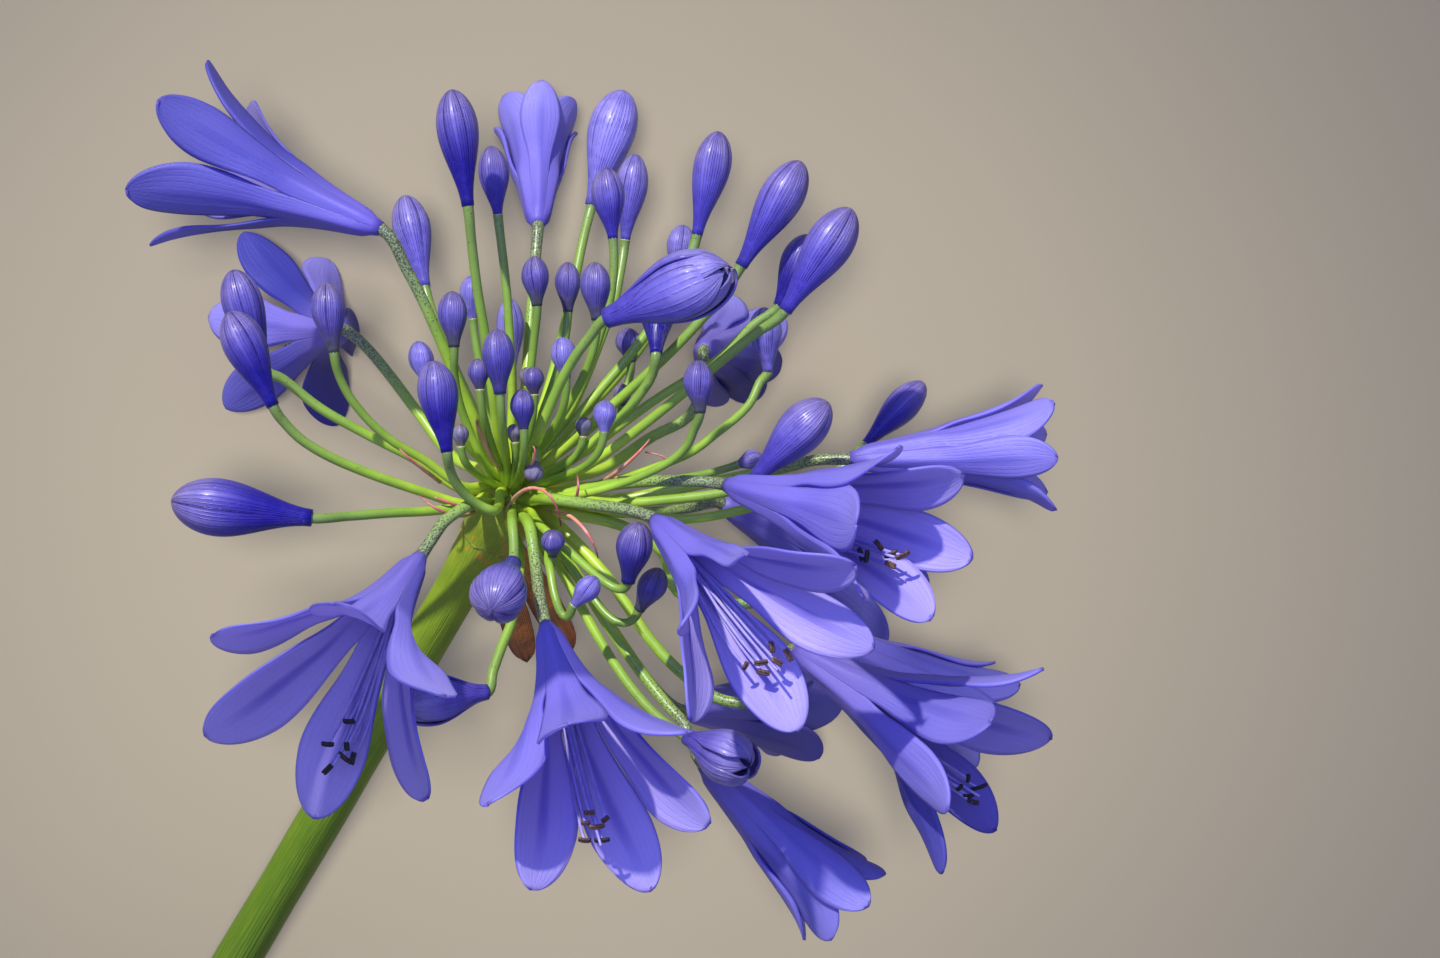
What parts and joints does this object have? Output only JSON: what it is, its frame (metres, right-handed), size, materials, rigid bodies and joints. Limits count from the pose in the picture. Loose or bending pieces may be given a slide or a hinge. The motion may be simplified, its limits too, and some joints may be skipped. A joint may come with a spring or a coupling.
{
  "type": "agapanthus flower head",
  "caption": "Cut agapanthus stem lying down: a round umbel of violet-blue trumpet flowers and buds on thin green pedicels over a thick scape.",
  "frame": {"origin": "centre of the bounding box in plan, at the surface that the stem lies on", "axes": "+Z up from the surface, towards the camera that looks down on it; +Y up in the picture, away from the cut end; +X to the picture's right"},
  "size_m": [0.2207, 0.2796, 0.1577],
  "materials": {
    "stalk": "smooth green plant stem",
    "spathe": "dry papery bract",
    "petal": "satin petal",
    "bud": "satin closed petals"
  },
  "bodies": {
    "root": {"stalk": "stalk", "spathe": "spathe", "flower_01": "petal", "flower_02": "petal", "flower_03": "petal", "flower_04": "petal", "flower_05": "petal", "flower_06": "petal", "flower_07": "petal", "flower_08": "petal", "flower_09": "petal", "flower_10": "petal", "flower_11": "petal", "flower_12": "petal", "flower_13": "petal", "flower_14": "petal", "bud_01": "bud", "bud_02": "bud", "bud_03": "bud", "bud_04": "bud", "bud_05": "bud", "bud_06": "bud", "bud_07": "bud", "bud_08": "bud", "bud_09": "bud", "bud_10": "bud", "bud_11": "bud", "bud_12": "bud", "bud_13": "bud", "bud_14": "bud", "bud_15": "bud", "bud_16": "bud", "bud_17": "bud", "bud_18": "bud", "bud_19": "bud", "bud_20": "bud", "bud_21": "bud", "bud_22": "bud", "bud_23": "bud", "bud_24": "bud", "bud_25": "bud", "bud_26": "bud", "bud_27": "bud", "bud_28": "bud", "bud_29": "bud", "bud_30": "bud", "bud_31": "bud", "bud_32": "bud", "bud_33": "bud", "bud_34": "bud", "bud_35": "bud", "bud_36": "bud", "bud_37": "bud", "bud_38": "bud", "bud_39": "bud", "bud_40": "bud", "bud_41": "bud", "bud_42": "bud", "bud_43": "bud"}
  },
  "joints": []
}
